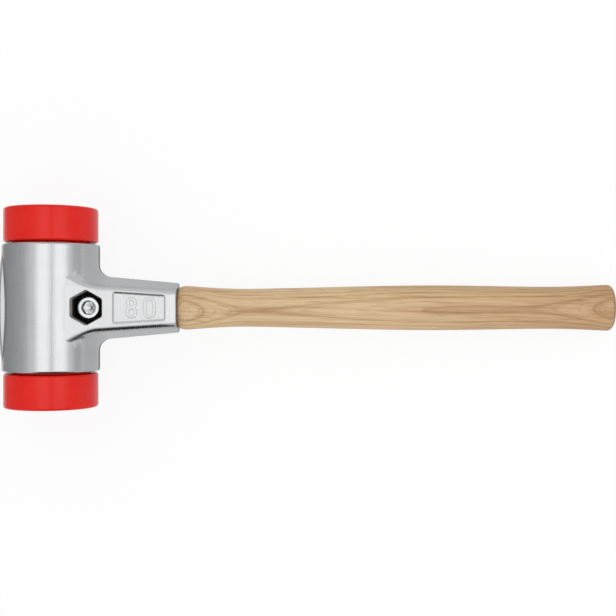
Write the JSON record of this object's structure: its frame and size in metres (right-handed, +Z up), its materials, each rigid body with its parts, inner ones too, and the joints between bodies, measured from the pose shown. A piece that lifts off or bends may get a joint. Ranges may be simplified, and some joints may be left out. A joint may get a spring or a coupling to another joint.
{
  "type": "soft-face hammer",
  "caption": "Split-head soft-face hammer: a cast aluminium housing in halves, clamped by a socket screw round red plastic striking faces and a wooden handle.",
  "frame": {"origin": "on the surface that the hammer lies on, under the middle of its bounding box", "axes": "+X along the handle from the head to the butt, +Y along the head to the upper face, +Z up, out of the front half"},
  "size_m": [0.5332, 0.1714, 0.083],
  "materials": {
    "cast_aluminium": "satin, fine blasted casting",
    "red_plastic": "turned, half gloss",
    "ash_wood": "sanded and oiled, straight grain",
    "zinc_steel": "bright zinc plate"
  },
  "bodies": {
    "rear_half": {"rear_housing_half": "cast_aluminium", "clamp_nut": "zinc_steel", "handle": "ash_wood"},
    "front_half": {"front_housing_half": "cast_aluminium", "screw_washer": "zinc_steel"},
    "screw": {"clamp_screw": "zinc_steel"},
    "upper_insert": {"upper_face": "red_plastic"},
    "lower_insert": {"lower_face": "red_plastic"}
  },
  "joints": [
    {"name": "clamp_open", "type": "slide", "parent": "rear_half", "child": "front_half", "axis": [0.0516, 0, 0.9987], "range_m": [0, 0.00875]},
    {"name": "screw_turn", "type": "hinge", "parent": "front_half", "child": "screw", "pos_m": [-0.18486, 0, 0.03958], "axis": [0.0516, 0, 0.9987], "range_deg": [0, 1800]},
    {"name": "upper_face_pull", "type": "slide", "parent": "rear_half", "child": "upper_insert", "axis": [0, 1, 0], "range_m": [0, 0.03]},
    {"name": "lower_face_pull", "type": "slide", "parent": "rear_half", "child": "lower_insert", "axis": [0, -1, 0], "range_m": [0, 0.03]}
  ],
  "couplings": [
    {"joint": "screw_turn", "follows": "clamp_open", "rad_per_m": 3590.4}
  ]
}
